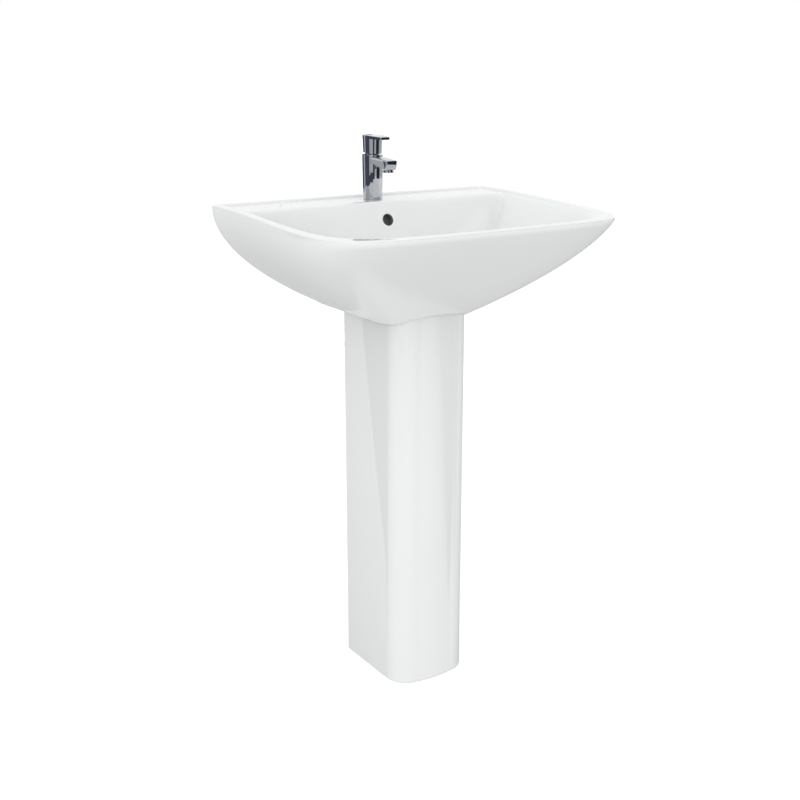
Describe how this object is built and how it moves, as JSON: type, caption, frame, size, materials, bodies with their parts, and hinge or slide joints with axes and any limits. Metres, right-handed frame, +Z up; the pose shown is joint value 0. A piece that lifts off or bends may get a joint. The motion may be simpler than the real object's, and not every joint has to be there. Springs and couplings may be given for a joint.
{
  "type": "pedestal sink",
  "caption": "White glazed pedestal basin with a wide curved bowl, slim U-shaped pedestal, single-lever mixer tap, pop-up waste and bottle trap.",
  "frame": {"origin": "on the floor under the middle of the plan", "axes": "+Z up, front of the basin towards -Y, the wall it stands against is the plane y = +0.2125 m"},
  "size_m": [0.567, 0.425, 0.9455],
  "materials": {
    "glazed_ceramic": "gloss glaze",
    "chrome_plate": "mirror",
    "bright_steel": "zinc plated",
    "nickel_plate": "nickel plated brass",
    "brass": "machined",
    "copper": "drawn tube, dull",
    "black_rubber": "matt",
    "white_plastic": "moulded",
    "grey_plastic": "moulded",
    "alumina": "lapped"
  },
  "bodies": {
    "fixed": {"basin": "glazed_ceramic", "pedestal": "glazed_ceramic", "basin_seat_pads": "black_rubber", "floor_screws": "bright_steel", "floor_screw_caps": "white_plastic", "tap_body": "chrome_plate", "tap_base_seal": "black_rubber", "tap_fixing_stud": "bright_steel", "tap_rubber_washer": "black_rubber", "tap_clamp_plate": "bright_steel", "tap_fixing_nut": "brass", "aerator_ring": "chrome_plate", "aerator_insert": "grey_plastic", "cartridge_body": "white_plastic", "cartridge_seal": "black_rubber", "cartridge_dome": "chrome_plate", "fixed_disc": "alumina", "hot_tail": "copper", "cold_tail": "copper", "hot_valve_body": "nickel_plate", "cold_valve_body": "nickel_plate", "tail_nuts": "nickel_plate", "tail_olives": "brass", "supply_nuts": "nickel_plate", "supply_olives": "brass", "waste_body": "chrome_plate", "waste_flange_seal": "black_rubber", "waste_lower_washer": "black_rubber", "waste_back_nut": "brass", "plug_guide": "white_plastic", "plug_spring": "bright_steel", "trap_inlet_nut": "white_plastic", "trap_inlet_washer": "black_rubber", "trap_body": "white_plastic", "trap_dip_tube": "white_plastic", "trap_cup": "white_plastic", "trap_cup_seal": "black_rubber", "trap_outlet_nut": "white_plastic", "trap_outlet_washer": "black_rubber", "trap_outlet_pipe": "white_plastic", "wall_rosette": "chrome_plate"},
    "turret": {"lever_turret": "white_plastic", "lever_pivot_pin": "bright_steel"},
    "lever": {"lever_stem": "brass", "lever_handle": "chrome_plate", "lever_grub_screw": "bright_steel", "lever_index_plug": "chrome_plate"},
    "disc": {"moving_disc": "alumina"},
    "plug": {"waste_plug": "chrome_plate", "waste_plug_seal": "black_rubber"},
    "hot_ball": {"hot_valve_ball": "brass"},
    "cold_ball": {"cold_valve_ball": "brass"}
  },
  "joints": [
    {"name": "lever_turn", "type": "hinge", "parent": "fixed", "child": "turret", "pos_m": [0, 0.1555, 0.9185], "axis": [0, 0, 1], "range_deg": [-50, 50]},
    {"name": "lever_lift", "type": "hinge", "parent": "turret", "child": "lever", "pos_m": [0, 0.1555, 0.9185], "axis": [-1, 0, 0], "range_deg": [0, 20]},
    {"name": "disc_slide", "type": "slide", "parent": "turret", "child": "disc", "axis": [0, -1, 0], "range_m": [0, 0.004]},
    {"name": "plug_lift", "type": "slide", "parent": "fixed", "child": "plug", "axis": [0, 0, 1], "range_m": [0, 0.009], "deforming": ["plug_spring"]},
    {"name": "hot_valve_turn", "type": "hinge", "parent": "fixed", "child": "hot_ball", "pos_m": [-0.04, 0.1555, 0.55], "axis": [-1, 0, 0], "range_deg": [0, 90]},
    {"name": "cold_valve_turn", "type": "hinge", "parent": "fixed", "child": "cold_ball", "pos_m": [0.04, 0.1555, 0.55], "axis": [1, 0, 0], "range_deg": [0, 90]}
  ],
  "couplings": [
    {"joint": "disc_slide", "follows": "lever_lift", "m_per_rad": 0.01127}
  ]
}
